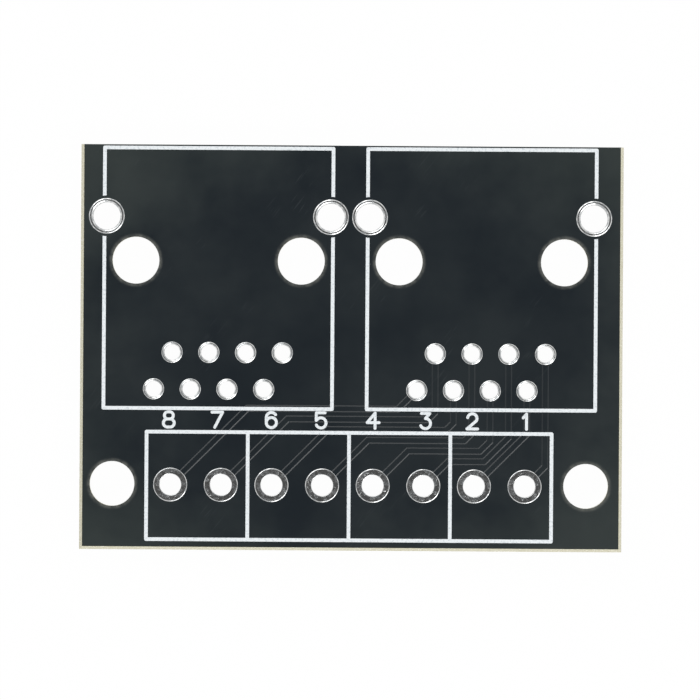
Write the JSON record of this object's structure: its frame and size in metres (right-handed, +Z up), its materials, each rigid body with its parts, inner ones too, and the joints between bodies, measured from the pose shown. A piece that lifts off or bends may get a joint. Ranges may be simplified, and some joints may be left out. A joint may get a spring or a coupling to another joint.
{
  "type": "ethernet jack adapter board",
  "caption": "Bare circuit board that carries side-by-side modular jacks and wires their pins to a row of screw terminals.",
  "frame": {"origin": "middle of the board in plan, at the level its underside rests on", "axes": "+X along the row of terminals, from terminal 8 towards terminal 1; +Y towards the edge where the plugs go in; +Z up from the component side"},
  "size_m": [0.0376, 0.028, 0.0016],
  "materials": {
    "laminate": "matte",
    "solder_mask": "gloss",
    "copper": "satin",
    "tin": "gloss",
    "ink": "matte"
  },
  "bodies": {
    "root": {"board_laminate": "laminate", "bottom_solder_mask": "solder_mask", "left_jack_outline_back": "ink", "left_jack_outline_front": "ink", "left_jack_pin_hole_1": "tin", "left_jack_pin_hole_2": "tin", "left_jack_pin_hole_3": "tin", "left_jack_pin_hole_4": "tin", "left_jack_pin_hole_5": "tin", "left_jack_pin_hole_6": "tin", "left_jack_pin_hole_7": "tin", "left_jack_pin_hole_8": "tin", "left_jack_shield_hole_left": "tin", "left_jack_shield_hole_right": "tin", "left_jack_track_1": "copper", "left_jack_track_2": "copper", "left_jack_track_3": "copper", "left_jack_track_4": "copper", "left_jack_track_5": "copper", "left_jack_track_6": "copper", "left_jack_track_7": "copper", "left_jack_track_8": "copper", "numeral_1": "ink", "numeral_2": "ink", "numeral_3": "ink", "numeral_4": "ink", "numeral_5": "ink", "numeral_6": "ink", "numeral_7": "ink", "numeral_8": "ink", "right_jack_outline_back": "ink", "right_jack_outline_front": "ink", "right_jack_pin_hole_1": "tin", "right_jack_pin_hole_2": "tin", "right_jack_pin_hole_3": "tin", "right_jack_pin_hole_4": "tin", "right_jack_pin_hole_5": "tin", "right_jack_pin_hole_6": "tin", "right_jack_pin_hole_7": "tin", "right_jack_pin_hole_8": "tin", "right_jack_shield_hole_left": "tin", "right_jack_shield_hole_right": "tin", "right_jack_track_1": "copper", "right_jack_track_2": "copper", "right_jack_track_3": "copper", "right_jack_track_4": "copper", "right_jack_track_5": "copper", "right_jack_track_6": "copper", "right_jack_track_7": "copper", "right_jack_track_8": "copper", "terminal_hole_1": "tin", "terminal_hole_2": "tin", "terminal_hole_3": "tin", "terminal_hole_4": "tin", "terminal_hole_5": "tin", "terminal_hole_6": "tin", "terminal_hole_7": "tin", "terminal_hole_8": "tin", "terminal_outline": "ink", "top_solder_mask": "solder_mask"}
  },
  "joints": []
}
